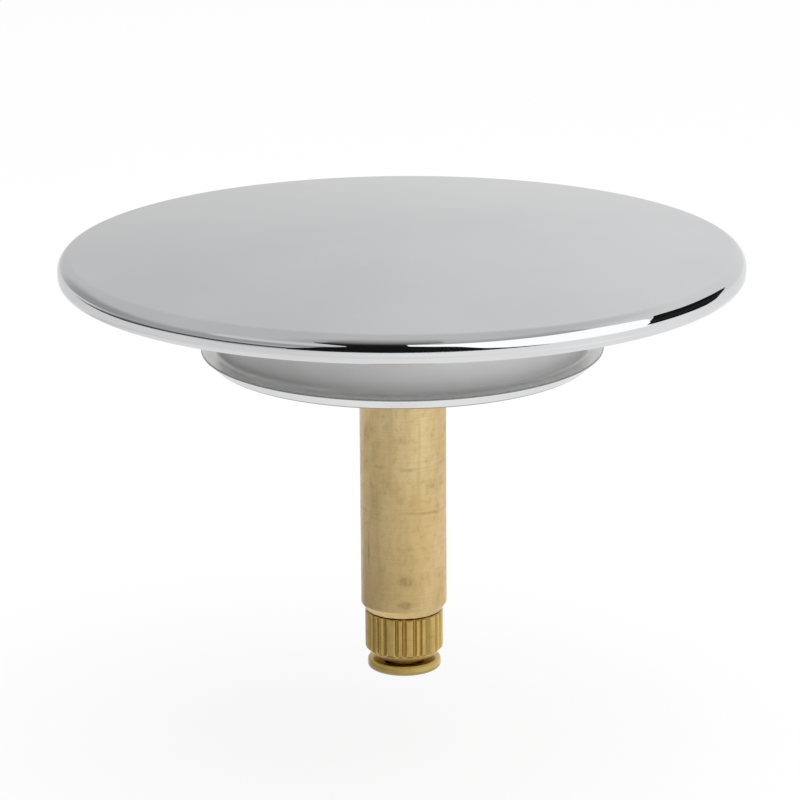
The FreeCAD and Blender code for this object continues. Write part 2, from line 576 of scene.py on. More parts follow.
@dataclass(frozen=True)
class Chrome(Finish):
    """Chrome plate, from mirror polished to satin, with painted light, painted shade and painted dark lines
    where a piece sets them.

    Attributes:
        dull: Colour of the hazier places.
        clear: Colour of the brighter places.
        roughness: Least and greatest roughness.
        rings: Depth of the turning marks, in metres.
        painted_light_radii: Radii between which the plate grows brighter outwards as painted light, in
            millimetres, or two zeros.
        ledge_painted_light: Colour past those radii, brighter than the plate: painted light.
        ledge_roughness: Roughness past those radii.
        edges: Lower height, upper height and inner radius of each painted dark line along an edge, which
            stands in for a dark reflection, in millimetres.
        edge: Colour of those painted dark lines.
        edge_soft: Width in which such a line fades out, in millimetres.
        painted_shade_heights: Heights between which painted shade darkens the plate downwards, in
            millimetres, or two zeros.
        corner: Colour of the painted shade at the lower of those heights.
        polished_below: Height below which the plate is polished, in millimetres, or 0.
        polish_soft: Height over which the polish sets in, in millimetres.
        polish: Colour of the polished plate.
        polish_roughness: Roughness of the polished plate.
    """

    dull: Colour = (0.70, 0.706, 0.72)
    clear: Colour = (0.735, 0.741, 0.753)
    roughness: Point = (0.03, 0.07)
    rings: float = 0.0
    painted_light_radii: Point = (0.0, 0.0)
    ledge_painted_light: Colour = (0.96, 0.965, 0.96)
    ledge_roughness: float = 0.36
    edges: tuple[Triple, ...] = ()
    edge: Colour = (0.26, 0.265, 0.27)
    edge_soft: float = 0.03
    painted_shade_heights: Point = (0.0, 0.0)
    corner: Colour = (0.48, 0.485, 0.48)
    polished_below: float = 0.0
    polish_soft: float = 0.08
    polish: Colour = (0.77, 0.775, 0.78)
    polish_roughness: float = 0.2

    def wire(self, bench: NodeBench, shader: bpy.types.Node, coords: Socket) -> None:
        """Join haze, wipe marks, turning marks, polish, painted light, painted shade and painted dark lines
        to the shader.

        Args:
            bench: Bench of the material's tree.
            shader: The material's shader.
            coords: Object coordinates, in metres.
        """
        haze = bench.noise(coords, (60.0, 60.0, 60.0), 3.0)
        wiped = bench.noise(coords, (70.0, 900.0, 300.0), 4.0, 0.65)
        tone = bench.blend(bench.remap(haze, (0.35, 0.65)), self.dull, self.clear)
        worn = bench.product(wiped, bench.remap(haze, (0.3, 0.7), (0.6, 1.4)))
        rough = bench.remap(worn, (0.3, 0.8), self.roughness)
        x, y, z = bench.split(coords)
        # Painted shade: the plate darkens downwards between these heights.
        if self.painted_shade_heights[0]:
            low, high = metres(*self.painted_shade_heights)
            tone = bench.blend(bench.remap(z, (low, high), (1.0, 0.0)), tone, self.corner)
        # Painted light: past these radii the plate is brighter, with its own roughness.
        if self.painted_light_radii[1] > 0:
            low, high = metres(*self.painted_light_radii)
            outer = bench.remap(bench.length(x, y), (low, high), (0.0, 1.0), Curve.SMOOTH)
            tone = bench.blend(outer, tone, self.ledge_painted_light)
            rough = bench.fade(outer, rough, self.ledge_roughness)
        if self.polished_below:
            ends = metres(self.polished_below - self.polish_soft, self.polished_below)
            lower = bench.remap(z, ends, (1.0, 0.0))
            tone = bench.blend(lower, tone, self.polish)
            rough = bench.fade(lower, rough, self.polish_roughness)
        # Painted dark lines along edges, which stand in for dark reflections.
        for edge in self.edges:
            low, high, inner = metres(*edge)
            soft = self.edge_soft * MM
            outside = bench.math("GREATER_THAN", bench.length(x, y), inner)
            line = bench.product(outside, bench.band(z, (low - soft, low), (high, high + soft)))
            tone = bench.blend(line, tone, self.edge)
        shader.inputs["Metallic"].default_value = 1.0
        bench.feed(shader.inputs["Base Color"], tone)
        bench.feed(shader.inputs["Roughness"], rough)
        marks = bench.noise(coords, (40.0, 40.0, 9000.0), 2.0)
        relief = bench.math("ADD", marks, bench.product(wiped, 0.2)) if self.rings else wiped
        bench.feed(shader.inputs["Normal"], bench.bump(relief, self.rings or 2e-7))


@dataclass(frozen=True)
class TurnedBrass(Finish):
    """Brass as it leaves the lathe, with turning marks and mottled tarnish, and where a piece sets them,
    painted shadow specks and a painted tone at its end.

    Attributes:
        fresh: Colour of clean metal.
        aged: Colour of older metal.
        stain_and_shade: Colour of tarnish, which the painted shadow specks use too.
        roughness: Least and greatest roughness.
        tarnish: Strength of the mottling, 0 to 1.
        marks: Depth of the turning marks, in metres.
        groove_dark_radii: Radii between which the grooves' darker tone fades out, in millimetres, or two
            zeros.
        groove_dark_above: Height above which the grooves are darker, in millimetres.
        groove_dark_soft: Height over which that darker tone sets in, in millimetres.
        rings: Heights of the darker ring marks, in millimetres.
        ring_halves: Half width of a ring mark where it is darkest and where it ends, in millimetres.
        waver: Height of the wavering of ring marks and stains, in millimetres.
        shadow_specks: Heights between which fine dark specks paint a shadow, in millimetres, or two zeros.
        shadow_speck_soft: Height over which that painted shadow sets in at the lower and at the upper end,
            in millimetres.
        spots: Angle from the front in degrees, height, half width and half height of stains, in millimetres.
        end_light_and_shade_below: Height below which the end has a tone of its own, in millimetres, or 0; a
            brighter tone paints light there, a darker one paints shade.
        end_soft: Height over which that tone sets in, in millimetres.
        end: Colour of the end: brighter for painted light, darker for painted shade.
        end_roughness: Roughness of the end.
    """

    fresh: Colour = (0.785, 0.605, 0.325)
    aged: Colour = (0.685, 0.50, 0.23)
    stain_and_shade: Colour = (0.27, 0.18, 0.06)
    roughness: Point = (0.3, 0.44)
    tarnish: float = 0.6
    marks: float = 4e-6
    groove_dark_radii: Point = (0.0, 0.0)
    groove_dark_above: float = 0.0
    groove_dark_soft: float = 0.1
    rings: tuple[float, ...] = ()
    ring_halves: Point = (0.05, 0.34)
    waver: float = 1.4
    shadow_specks: Point = (0.0, 0.0)
    shadow_speck_soft: Point = (0.5, 0.1)
    spots: tuple[tuple[float, float, float, float], ...] = ()
    end_light_and_shade_below: float = 0.0
    end_soft: float = 0.12
    end: Colour = (0.0, 0.0, 0.0)
    end_roughness: float = 0.4

    def wire(self, bench: NodeBench, shader: bpy.types.Node, coords: Socket) -> None:
        """Join tone, grain, streaks, stains, painted shadow specks, the painted end tone and turning marks
        to the shader.

        Args:
            bench: Bench of the material's tree.
            shader: The material's shader.
            coords: Object coordinates, in metres.
        """
        tone = bench.noise(coords, (170.0, 170.0, 110.0), 3.0)
        blotch = bench.noise(coords, (420.0, 420.0, 210.0), 4.0, 0.6)
        grain = bench.noise(coords, (1500.0, 1500.0, 1100.0), 5.0, 0.65)
        streaks = bench.noise(coords, (1300.0, 1300.0, 60.0), 3.0)
        turned = bench.noise(coords, (40.0, 40.0, 6500.0), 3.0)
        clean = bench.blend(bench.remap(tone, (0.36, 0.64)), self.aged, self.fresh)
        dirt_and_shade = bench.product(bench.remap(grain, (0.5, 0.8), (0.0, 0.55)), self.tarnish)
        streak = bench.product(bench.remap(streaks, (0.56, 0.72), (0.0, 0.5)), self.tarnish, tone)
        blotches = bench.product(bench.remap(blotch, (0.5, 0.72), (0.0, 0.4)), self.tarnish)
        dirt_and_shade = bench.math("ADD", bench.math("MAXIMUM", dirt_and_shade, streak), blotches)
        dirt_and_shade = bench.math("ADD", dirt_and_shade, bench.remap(turned, (0.45, 0.75), (0.0, 0.14)))
        for layer in self._marks_and_shade(bench, coords, grain, tone):
            dirt_and_shade = bench.math("MAXIMUM", dirt_and_shade, layer)
        worn = bench.math("ADD", bench.product(grain, 0.6), bench.product(dirt_and_shade, 0.5))
        colour = bench.blend(dirt_and_shade, clean, self.stain_and_shade)
        rough = bench.remap(worn, (0.2, 0.7), self.roughness)
        # The end's own tone and roughness: a brighter tone paints light, a darker one paints shade.
        if self.end_light_and_shade_below:
            ends = metres(self.end_light_and_shade_below - self.end_soft, self.end_light_and_shade_below)
            share = bench.product(bench.remap(bench.split(coords)[2], ends, (1.0, 0.0)),
                                  bench.remap(grain, (0.3, 0.7), (1.0, 0.8)))
            colour = bench.blend(share, colour, self.end)
            rough = bench.fade(share, rough, self.end_roughness)
        shader.inputs["Metallic"].default_value = 1.0
        bench.feed(shader.inputs["Base Color"], colour)
        bench.feed(shader.inputs["Roughness"], rough)
        relief = bench.math("ADD", turned, bench.product(grain, 0.5))
        bench.feed(shader.inputs["Normal"], bench.bump(relief, self.marks))

    def _marks_and_shade(self, bench: NodeBench, coords: Socket, grain: Socket, tone: Socket) -> list[Socket]:
        """Make the layers that darken the metal in places of their own: darker grooves, ring marks, painted
        shadow specks and stains.

        Args:
            bench: Bench of the material's tree.
            coords: Object coordinates, in metres.
            grain: Fine noise.
            tone: Broad noise; not used.

        Returns:
            Darkening from 0 to 1, one layer each.
        """
        x, y, z = bench.split(coords)
        radius = bench.length(x, y)
        angle = bench.azimuth(x, y)
        swing = bench.math("SUBTRACT", bench.noise(coords, (260.0,) * 3), 0.5)
        waver = bench.product(swing, self.waver * MM)
        patchy = bench.remap(bench.noise(coords, (420.0, 420.0, 300.0), 3.0), (0.40, 0.62), (0.12, 1.0))
        layers: list[Socket] = []
        # The grooves grow darker towards their floors, above a height.
        if self.groove_dark_radii[1] > 0:
            low, high = metres(*self.groove_dark_radii)
            groove = bench.remap(radius, (low, high), (0.7, 0.0))
            above = bench.remap(z, metres(self.groove_dark_above, self.groove_dark_above + self.groove_dark_soft))
            layers.append(bench.product(groove, above, bench.remap(grain, (0.3, 0.7), (0.75, 1.0))))
        for height in self.rings:
            away = bench.math("ABSOLUTE", bench.math("SUBTRACT", bench.math("ADD", z, waver), height * MM))
            mark = bench.remap(away, metres(*self.ring_halves), (0.42, 0.0), Curve.SMOOTH)
            layers.append(bench.product(mark, patchy))
        # Painted shadow: fine dark specks in a band between two heights, under the piece above.
        if self.shadow_specks[0]:
            low, high = metres(*self.shadow_specks)
            lower, upper = metres(*self.shadow_speck_soft)
            over = bench.remap(z, (low - lower / 2, low + lower / 2), (0.0, 1.0), Curve.SMOOTH)
            under = bench.remap(z, (high - upper, high), (1.0, 0.0))
            fine = bench.noise(coords, (1700.0, 1700.0, 2100.0), 2.0)
            layers.append(bench.product(over, under, bench.remap(fine, (0.53, 0.64), (0.0, 0.75))))
        for degrees, height, half_width, half_height in self.spots:
            along = bench.product(bench.math("SUBTRACT", angle, math.radians(degrees)), radius)
            across = bench.math("DIVIDE", along, half_width * MM)
            up = bench.math("DIVIDE", bench.math("SUBTRACT", z, height * MM), half_height * MM)
            edge = bench.product(waver, 1.0 / MM)
            away = bench.math("ADD", bench.length(across, up), edge)
            mark = bench.remap(away, (0.45, 1.35), (0.55, 0.0), Curve.SMOOTH)
            layers.append(bench.product(mark, bench.remap(grain, (0.35, 0.6), (0.4, 1.0))))
        return layers


@dataclass(frozen=True)
class MouldedRubber(Finish):
    """Pale rubber with the fine skin of its mould.

    Attributes:
        plain: Colour of most of the skin.
        bloom: Colour of its whiter places.
    """

    plain: Colour = (0.76, 0.76, 0.735)
    bloom: Colour = (0.84, 0.84, 0.82)

    def wire(self, bench: NodeBench, shader: bpy.types.Node, coords: Socket) -> None:
        """Join the skin's bloom and fine relief to the shader.

        Args:
            bench: Bench of the material's tree.
            shader: The material's shader.
            coords: Object coordinates, in metres.
        """
        bloom = bench.noise(coords, (240.0, 240.0, 240.0), 5.0, 0.6)
        skin = bench.noise(coords, (5200.0, 5200.0, 5200.0), 2.0)
        share = bench.remap(bloom, (0.42, 0.75))
        bench.feed(shader.inputs["Base Color"], bench.blend(share, self.plain, self.bloom))
        bench.feed(shader.inputs["Roughness"], bench.remap(bloom, (0.3, 0.7), (0.48, 0.66)))
        bench.feed(shader.inputs["Normal"], bench.bump(skin, 1.2e-5))


@dataclass(frozen=True)
class SpringSteel(Finish):
    """Oiled spring steel with drawn lines.

    Attributes:
        bright: Colour of bare metal.
        oiled: Colour under oil.
    """

    bright: Colour = (0.50, 0.50, 0.51)
    oiled: Colour = (0.34, 0.33, 0.32)

    def wire(self, bench: NodeBench, shader: bpy.types.Node, coords: Socket) -> None:
        """Join oil patches and drawn lines to the shader.

        Args:
            bench: Bench of the material's tree.
            shader: The material's shader.
            coords: Object coordinates, in metres.
        """
        oil = bench.noise(coords, (350.0, 350.0, 350.0), 4.0)
        lines = bench.noise(coords, (120.0, 120.0, 9000.0), 2.0)
        shader.inputs["Metallic"].default_value = 1.0
        share = bench.remap(oil, (0.38, 0.66))
        bench.feed(shader.inputs["Base Color"], bench.blend(share, self.bright, self.oiled))
        bench.feed(shader.inputs["Roughness"], bench.remap(oil, (0.3, 0.7), (0.24, 0.4)))
        bench.feed(shader.inputs["Normal"], bench.bump(lines, 3e-6))


class ShapeTree(ABC):
    """A node tree that cuts a regular pattern into a turned blank."""

    title: str

    def cut(self, blank: bpy.types.Mesh, finish: Finish, sizes: dict[str, float | int]) -> bpy.types.Mesh:
        """Cut the pattern into a blank.

        Args:
            blank: Mesh of the blank, which is used up.
            finish: Finish of the cut piece.
            sizes: Value of each named input of the tree.

        Returns:
            Plain mesh with the pattern in it.
        """
        tree = bpy.data.node_groups.get(self.title) or self._tree()
        name = blank.name
        work = placed(name + "_blank", blank)
        modifier = work.modifiers.new(self.title, "NODES")
        modifier.node_group = tree
        given = {**sizes, "Finish": finish.material()}
        for socket in tree.interface.items_tree:
            if socket.in_out == "INPUT" and socket.name in given:
                modifier[socket.identifier] = given[socket.name]
        graph = bpy.context.evaluated_depsgraph_get()
        made = bpy.data.meshes.new_from_object(work.evaluated_get(graph))
        work.modifiers.clear()
        bpy.data.objects.remove(work)
        bpy.data.meshes.remove(blank)
        made.name = name
        return tidied(made, CUT_SMOOTH_ANGLE)

    def _tree(self) -> bpy.types.NodeTree:
        """Build the tree: each point is drawn in to the pattern's radius where it lies outside it.

        Returns:
            The tree.
        """
        tree = bpy.data.node_groups.new(self.title, "GeometryNodeTree")
        tree.interface.new_socket("Geometry", in_out="INPUT", socket_type="NodeSocketGeometry")
        for name, kind in self.inputs().items():
            tree.interface.new_socket(name, in_out="INPUT", socket_type=kind)
        tree.interface.new_socket("Finish", in_out="INPUT", socket_type="NodeSocketMaterial")
        tree.interface.new_socket("Geometry", in_out="OUTPUT", socket_type="NodeSocketGeometry")
        bench = NodeBench(tree)
        given = bench.node("NodeGroupInput").outputs
        x, y, z = bench.split(bench.node("GeometryNodeInputPosition").outputs[0])
        radius = bench.length(x, y)
        turn = bench.math("DIVIDE", bench.math("ARCTAN2", y, x), TURN)
        limit = self.limit(bench, given, turn, z)
        kept = bench.math("MINIMUM", radius, limit)
        share = bench.math("DIVIDE", kept, bench.math("MAXIMUM", radius, 1e-9))
        moved = bench.node("ShaderNodeCombineXYZ")
        bench.feed(moved.inputs[0], bench.product(x, share))
        bench.feed(moved.inputs[1], bench.product(y, share))
        bench.feed(moved.inputs[2], z)
        place = bench.node("GeometryNodeSetPosition")
        bench.feed(place.inputs["Geometry"], given["Geometry"])
        bench.feed(place.inputs["Position"], moved.outputs[0])
        real = bench.node("GeometryNodeRealizeInstances")
        bench.feed(real.inputs[0], place.outputs[0])
        dress = bench.node("GeometryNodeSetMaterial")
        bench.feed(dress.inputs["Geometry"], real.outputs[0])
        bench.feed(dress.inputs["Material"], given["Finish"])
        bench.feed(bench.node("NodeGroupOutput").inputs[0], dress.outputs[0])
        return tree

    @staticmethod
    def zigzag(bench: NodeBench, count: Value) -> Socket:
        """Turn a running number into a zigzag, 1 at each whole number and 0 half-way between two."""
        doubled = bench.product(bench.math("FRACT", count), 2.0)
        return bench.math("ABSOLUTE", bench.math("SUBTRACT", doubled, 1.0))

    @abstractmethod
    def inputs(self) -> dict[str, str]:
        """Name the tree's sizes and their socket types."""

    @abstractmethod
    def limit(self, bench: NodeBench, given: bpy.types.NodeOutputs, turn: Socket, height: Socket) -> Socket:
        """Work out the pattern's radius at a point.

        Args:
            bench: Bench of the tree.
            given: The tree's inputs.
            turn: Angle of the point about the axis, in turns from +X.
            height: Height of the point, in metres.

        Returns:
            The radius, in metres.
        """


class KnurlTree(ShapeTree):
    """Straight ridges round a blank.

    Attributes:
        swells: Times that the ridges' spacing swells round the blank, in two overlaid waves.
    """

    title: str = "Straight knurl"
    swells: tuple[int, int] = (5, 11)

    def inputs(self) -> dict[str, str]:
        """Name the tree's sizes and their socket types."""
        shares = {name: "NodeSocketFloat" for name in ("Crest share", "Valley share", "Wander")}
        return {"Count": "NodeSocketInt", "Radius": "NodeSocketFloat", "Depth": "NodeSocketFloat", **shares}

    def limit(self, bench: NodeBench, given: bpy.types.NodeOutputs, turn: Socket, height: Socket) -> Socket:
        """Work out the ridges' radius, with a crest near +X.

        Args:
            bench: Bench of the tree.
            given: The tree's inputs.
            turn: Angle of the point about the axis, in turns from +X.
            height: Height of the point, in metres; not used.

        Returns:
            The radius, in metres.
        """
        waves = (bench.math("SINE", bench.product(turn, TURN * count)) for count in self.swells)
        shift = bench.product(bench.math("ADD", *waves), given["Wander"])
        place = bench.product(bench.math("ADD", turn, 1.0), given["Count"])
        crest = self.zigzag(bench, bench.math("ADD", place, shift))
        shoulder = bench.math("SUBTRACT", 1.0, given["Crest share"])
        root = bench.math("SUBTRACT", given["Radius"], given["Depth"])
        return bench.remap(crest, (given["Valley share"], shoulder), (root, given["Radius"]), Curve.SMOOTH)


class ThreadTree(ShapeTree):
    """Right-hand screw thread that runs out at both ends.

    Attributes:
        names: Names of the tree's sizes.
        flank: Root and crest end of the flank, as shares of half the pitch.
        far: Added to the radius beyond the thread's ends, in metres.
    """

    title: str = "Screw thread"
    names: tuple[str, ...] = ("Radius", "Pitch", "Depth", "Lower end", "Upper end", "Run-out")
    flank: Point = (0.22, 0.88)
    far: float = 0.1

    def inputs(self) -> dict[str, str]:
        """Name the tree's sizes and their socket types."""
        return {name: "NodeSocketFloat" for name in self.names}

    def sizes(self, radius: float, pitch: float, depth: float, ends: Point,
              run_out: float) -> dict[str, float]:
        """Give the tree's inputs the sizes of one thread, which come in millimetres."""
        return dict(zip(self.names, metres(radius, pitch, depth, *ends, run_out)))

    def limit(self, bench: NodeBench, given: bpy.types.NodeOutputs, turn: Socket, height: Socket) -> Socket:
        """Work out the thread's radius.

        Args:
            bench: Bench of the tree.
            given: The tree's inputs.
            turn: Angle of the point about the axis, in turns from +X.
            height: Height of the point, in metres.

        Returns:
            The radius, in metres; far outside the blank beyond the thread's ends.
        """
        pitches = bench.math("DIVIDE", height, given["Pitch"])
        ridge = self.zigzag(bench, bench.math("SUBTRACT", pitches, turn))
        cut = bench.remap(ridge, self.flank, (1.0, 0.0))
        from_lower = bench.math("SUBTRACT", height, given["Lower end"])
        from_upper = bench.math("SUBTRACT", given["Upper end"], height)
        inside = bench.math("DIVIDE", bench.math("MINIMUM", from_lower, from_upper), given["Run-out"])
        fade = bench.remap(inside, (0.0, 1.0))
        depth = bench.product(given["Depth"], cut, fade)
        beyond = bench.product(bench.math("LESS_THAN", inside, 0.0), self.far)
        return bench.math("ADD", bench.math("SUBTRACT", given["Radius"], depth), beyond)


def set_in(mesh: bpy.types.Mesh, node: str, body: Body, finish: Finish) -> bpy.types.Object:
    """Put a finished mesh in the scene in place of a CAD node.

    Args:
        mesh: The mesh, in its place.
        node: CAD node that it stands for.
        body: Body that it moves with.
        finish: Its finish.

    Returns:
        The new object.
    """
    piece = placed(mesh.name, mesh)
    mesh.materials.clear()
    mesh.materials.append(finish.material())
    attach(piece, body.value)
    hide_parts(node)
    LOG.info("%s stands for %s: %d faces, %s", piece.name, node, len(mesh.polygons), finish.title)
    return piece


OILED_STEEL: Finish = SpringSteel("oiled_steel", Slot.SPRING_STEEL)


@dataclass
class Cover:
    """Domed cover with its rounded rim, and the post that holds it.

    Attributes:
        radius: Outer radius of the rim.
        crown: Height of the dome's middle.
        shoulder_height: Height of the centre of the shoulder's arc.
        shoulder: Radius of the shoulder between dome and rim.
        rim_edge: Radius of the rim's lower edge.
        lip_inner: Inner radius of the rim's lip.
        underside: Height of the plate's underside.
        socket: Radius and height of the socket for the post's spigot.
        spigot: Radius and height of the post's spigot.
        post: Radius of the post.
        post_foot: Height of the post's lower face.
        stud: Radius of the threaded end.
        stud_end: Height of the end of the thread.
        stud_pitch: Pitch of the thread.
        stud_depth: Depth of the thread.
        stud_chamfer: Chamfer of the stud's end.
        stud_plain: Plain length between the post and the thread.
        stud_run_out: Height over which the thread runs out.
        chrome: Finish of the cover.
        brass: Finish of the post.
    """

    radius: float = 36.0
    crown: float = 4.9
    shoulder_height: float = 1.4
    shoulder: float = 1.5
    rim_edge: float = 0.9
    lip_inner: float = 33.6
    underside: float = 1.3
    socket: Point = (4.05, 2.6)
    spigot: Point = (4.0, 2.5)
    post: float = 7.0
    post_foot: float = -6.7
    stud: float = 3.0
    stud_end: float = -17.0
    stud_pitch: float = 1.0
    stud_depth: float = 0.5
    stud_chamfer: float = 0.5
    stud_plain: float = 1.6
    stud_run_out: float = 0.4
    chrome: Finish = Chrome("mirror_chrome", Slot.POLISHED_CHROME)
    brass: Finish = TurnedBrass("post_brass", Slot.BRASS, roughness=(0.26, 0.4))

    def build(self) -> None:
        """Build the cover and its post."""
        set_in(self.disc(), "cover_disc", Body.STOPPER, self.chrome)
        set_in(self.centre_post(), "centre_post", Body.STOPPER, self.brass)

    def disc(self) -> bpy.types.Mesh:
        """Turn the cover, whose dome runs smoothly into the shoulder of the rim.

        Returns:
            Mesh of the cover.
        """
        inner = self.radius - self.shoulder
        rise = self.crown - self.shoulder_height
        dome = (inner ** 2 + rise ** 2 - self.shoulder ** 2) / (2 * (rise - self.shoulder))
        centre = (0.0, self.crown - dome)
        meet = math.atan2(self.shoulder_height - centre[1], inner)
        edge = (self.radius - self.rim_edge, self.rim_edge)
        section = HalfSection(closed=False)
        section.corner(0.0, self.socket[1]).corner(self.socket[0], self.socket[1], 0.1)
        section.corner(self.socket[0], self.underside, 0.15)
        section.corner(self.lip_inner, self.underside, 0.3).corner(self.lip_inner, 0.0, 0.2)
        section.arc(edge, self.rim_edge, -math.pi / 2, 0.0, 16)
        section.arc((inner, self.shoulder_height), self.shoulder, 0.0, meet, 30)
        section.arc(centre, dome, meet + (math.pi / 2 - meet) / 400, math.pi / 2, 40)
        return Lathe(384).mesh("domed_cover", section)

    def centre_post(self) -> bpy.types.Mesh:
        """Turn the post and cut the thread of its lower end.

        Returns:
            Mesh of the post.
        """
        section = HalfSection(closed=False)
        section.corner(0.0, self.spigot[1]).corner(self.spigot[0], self.spigot[1], 0.2)
        section.corner(self.spigot[0], self.underside, 0.05).corner(self.post, self.underside, 0.2)
        section.corner(self.post, self.post_foot, 0.2).corner(self.stud, self.post_foot)
        section.run(self.stud, self.stud_end + self.stud_chamfer, 90)
        section.corner(self.stud - self.stud_chamfer, self.stud_end).corner(0.0, self.stud_end)
        blank = Lathe(96).mesh("clamp_post", section)
        thread = ThreadTree()
        ends = (self.stud_end - self.stud_chamfer, self.post_foot - self.stud_plain)
        sizes = thread.sizes(self.stud, self.stud_pitch, self.stud_depth, ends, self.stud_run_out)
        return thread.cut(blank, self.brass, sizes)


@dataclass
class ValveBody:
    """Cup with its neck and flange, and the seal that sits round the neck.

    Attributes:
        neck: Outer radius of the neck.
        bore: Inner radius of the neck.
        top: Height of the neck's upper face, under the cover.
        flange: Radius of the flange.
        flange_top: Height of the flange's upper face.
        land: Height of the plain edge above the flange's bevel.
        bottom: Height of the lower face.
        bottom_radius: Radius of the lower face.
        fillet: Radius of the hollow between neck and flange.
        hole: Radius of the hole for the post.
        floor_top: Height of the cup's inner floor.
        seal_bore: Inner radius of the seal.
        seal_foot: Radius of the seal's lower face.
        seal_bottom: Height of the seal's lower face.
        seal_lip: Radius of the seal's lip.
        seal_lip_bottom: Height where the taper meets the lip.
        mould_ridge: Depth and half width of the ridge that the mould leaves round the lip.
        mould_crest: Half width of that ridge's crest.
        chrome: Finish of the cup, with painted light on the flange's upper face, painted shade low on the
            neck and painted dark lines along the flange's edges.
        rubber: Finish of the seal.
    """

    neck: float = 19.4
    bore: float = 17.6
    top: float = 1.3
    flange: float = 21.25
    flange_top: float = -7.6
    land: float = 0.15
    bottom: float = -8.9
    bottom_radius: float = 20.0
    fillet: float = 0.5
    hole: float = 3.2
    floor_top: float = -6.7
    seal_bore: float = 19.5
    seal_foot: float = 22.0
    seal_bottom: float = -2.8
    seal_lip: float = 27.5
    seal_lip_bottom: float = -0.3
    mould_ridge: float = 0.12
    mould_crest: float = 0.04
    # Painted light on the flange's upper face, painted shade low on the neck, and painted dark lines along
    # the flange's edges.
    chrome: Finish = Chrome("satin_plate", Slot.SATIN_CHROME,
                            dull=(0.62, 0.625, 0.62), clear=(0.68, 0.685, 0.68),
                            roughness=(0.46, 0.56), rings=1.5e-6, painted_light_radii=(19.45, 19.9),
                            painted_shade_heights=(-7.3, -4.6), polished_below=-7.62,
                            edges=((-7.74, -7.62, 21.12), (-8.9, -8.77, 19.96)))
    rubber: Finish = MouldedRubber("pale_rubber", Slot.RUBBER)

    def build(self) -> None:
        """Build the cup and its seal."""
        set_in(self.cup(), "valve_body", Body.STOPPER, self.chrome)
        set_in(self.seal(), "seal_ring", Body.STOPPER, self.rubber)

    def cup(self) -> bpy.types.Mesh:
        """Turn the cup with its flange.

        Returns:
            Mesh of the cup.
        """
        section = HalfSection(closed=True)
        section.corner(self.hole, self.bottom, 0.15).corner(self.bottom_radius, self.bottom, 0.2)
        section.corner(self.flange, self.flange_top - self.land, 0.12)
        section.corner(self.flange, self.flange_top, 0.1)
        section.corner(self.neck, self.flange_top, self.fillet).corner(self.neck, self.top, 0.15)
        section.corner(self.bore, self.top, 0.15).corner(self.bore, self.floor_top, 0.4)
        section.corner(self.hole, self.floor_top, 0.15)
        return Lathe(288).mesh("flanged_neck", section)

    def seal(self) -> bpy.types.Mesh:
        """Turn the seal, with a fine ridge left by the mould round its lip.

        Returns:
            Mesh of the seal.
        """
        part = (self.seal_lip_bottom + self.top) / 2
        side = self.seal_lip - self.mould_ridge
        base, crest = self.mould_ridge, self.mould_crest
        section = HalfSection(closed=True)
        section.corner(self.seal_bore, self.seal_bottom, 0.2).corner(self.seal_foot, self.seal_bottom, 0.35)
        section.corner(side, self.seal_lip_bottom, 0.3)
        section.corner(side, part - base, 0.04).corner(self.seal_lip, part - crest, 0.03)
        section.corner(self.seal_lip, part + crest, 0.03).corner(side, part + base, 0.04)
        section.corner(side, self.top, 0.5).corner(self.seal_bore, self.top, 0.2)
        return Lathe(256).mesh("rubber_seal", section)


